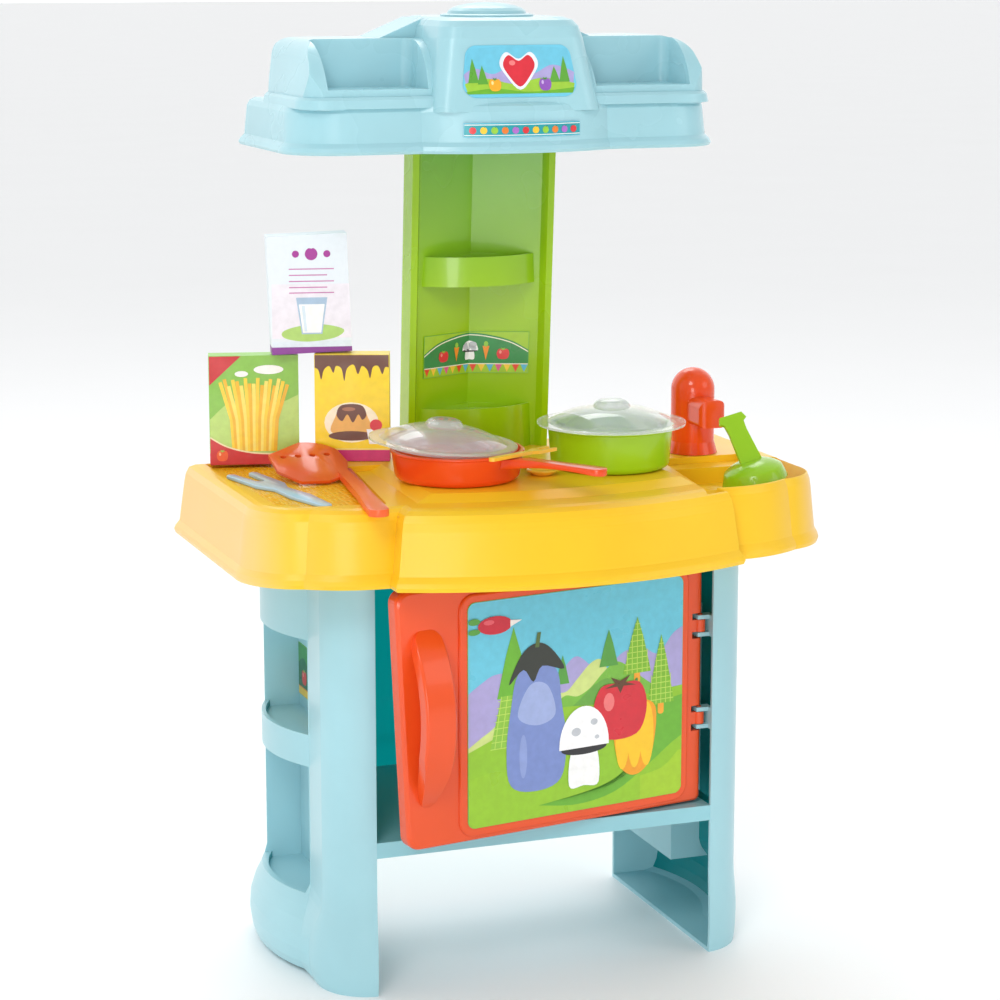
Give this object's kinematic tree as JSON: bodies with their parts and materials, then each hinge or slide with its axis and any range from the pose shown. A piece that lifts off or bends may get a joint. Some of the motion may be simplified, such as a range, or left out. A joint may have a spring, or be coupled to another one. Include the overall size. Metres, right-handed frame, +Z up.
{
  "type": "toy kitchen",
  "caption": "Moulded play kitchen with a swinging oven door, a worktop with board, hob, sink and swivel tap, a shelved tower, a hood and loose toy cookware",
  "frame": {"origin": "on the floor, in the middle of the outer box", "axes": "+Z up, +X to the right seen from the front, +Y to the back; the oven door faces -Y"},
  "size_m": [0.4462, 0.29, 0.7],
  "materials": {
    "aqua_plastic": "smooth moulded, slightly milky",
    "teal_plastic": "smooth moulded",
    "yellow_plastic": "glossy moulded",
    "orange_plastic": "glossy moulded",
    "lime_plastic": "glossy moulded",
    "pale_blue_plastic": "glossy moulded",
    "clear_lid": "clear moulded plastic",
    "door_print": "printed film",
    "small_print": "printed film",
    "carton_print": "printed board",
    "screw_steel": "plated steel"
  },
  "bodies": {
    "kitchen": {"left_leg": "aqua_plastic", "right_leg": "aqua_plastic", "oven_floor": "aqua_plastic", "back_panel": "teal_plastic", "worktop": "yellow_plastic", "tower": "lime_plastic", "hood": "aqua_plastic", "hood_dome": "aqua_plastic", "hinge_lugs": "aqua_plastic", "hood_sticker": "small_print", "hood_strip_sticker": "small_print", "tower_sticker": "small_print", "leg_stickers": "small_print", "leg_screws": "screw_steel", "tower_screws": "screw_steel", "hood_screws": "screw_steel"},
    "door": {"door_panel": "orange_plastic", "door_handle": "orange_plastic", "door_sticker": "door_print"},
    "tap": {"tap_body": "orange_plastic", "tap_spout": "orange_plastic", "tap_stem": "orange_plastic"},
    "pan": {"pan": "orange_plastic", "pan_handle": "orange_plastic"},
    "pan_cover": {"pan_lid": "clear_lid"},
    "pot": {"pot": "lime_plastic"},
    "pot_cover": {"pot_lid": "clear_lid"},
    "blue_fork": {"cutlery_fork": "pale_blue_plastic"},
    "turner": {"skimmer": "orange_plastic"},
    "fork": {"yellow_fork": "yellow_plastic"},
    "spoon": {"yellow_spoon": "yellow_plastic"},
    "ladle": {"ladle": "lime_plastic"},
    "spaghetti": {"spaghetti_box": "carton_print"},
    "pudding": {"pudding_box": "carton_print"},
    "milk": {"milk_box": "carton_print"}
  },
  "joints": [
    {"name": "door_hinge", "type": "hinge", "parent": "kitchen", "child": "door", "pos_m": [0.1245, -0.0545, 0.215], "axis": [0, 0, 1], "range_deg": [-9.8, 80.2]},
    {"name": "tap_swivel", "type": "hinge", "parent": "kitchen", "child": "tap", "pos_m": [0.158, 0.037, 0.3623], "axis": [0, 0, 1], "range_deg": [-60, 60]},
    {"name": "pan_lift", "type": "slide", "parent": "kitchen", "child": "pan", "axis": [0, 0, 1], "range_m": [0, 0.06]},
    {"name": "pan_cover_lift", "type": "slide", "parent": "pan", "child": "pan_cover", "axis": [0, 0, 1], "range_m": [0, 0.06]},
    {"name": "pot_lift", "type": "slide", "parent": "kitchen", "child": "pot", "axis": [0, 0, 1], "range_m": [0, 0.06]},
    {"name": "pot_cover_lift", "type": "slide", "parent": "pot", "child": "pot_cover", "axis": [0, 0, 1], "range_m": [0, 0.06]},
    {"name": "blue_fork_lift", "type": "slide", "parent": "kitchen", "child": "blue_fork", "axis": [0, 0, 1], "range_m": [0, 0.06]},
    {"name": "turner_lift", "type": "slide", "parent": "kitchen", "child": "turner", "axis": [0, 0, 1], "range_m": [0, 0.05]},
    {"name": "fork_lift", "type": "slide", "parent": "pan", "child": "fork", "axis": [0, 0, 1], "range_m": [0, 0.06]},
    {"name": "spoon_lift", "type": "slide", "parent": "kitchen", "child": "spoon", "axis": [0, 0, 1], "range_m": [0, 0.012]},
    {"name": "ladle_lift", "type": "slide", "parent": "kitchen", "child": "ladle", "axis": [0, 0, 1], "range_m": [0, 0.06]},
    {"name": "spaghetti_slide", "type": "slide", "parent": "kitchen", "child": "spaghetti", "axis": [-0.9703, 0.2419, 0], "range_m": [0, 0.05]},
    {"name": "pudding_lift", "type": "slide", "parent": "kitchen", "child": "pudding", "axis": [0, 0, 1], "range_m": [0, 0.02]},
    {"name": "milk_lift", "type": "slide", "parent": "pudding", "child": "milk", "axis": [0, 0, 1], "range_m": [0, 0.03]}
  ]
}
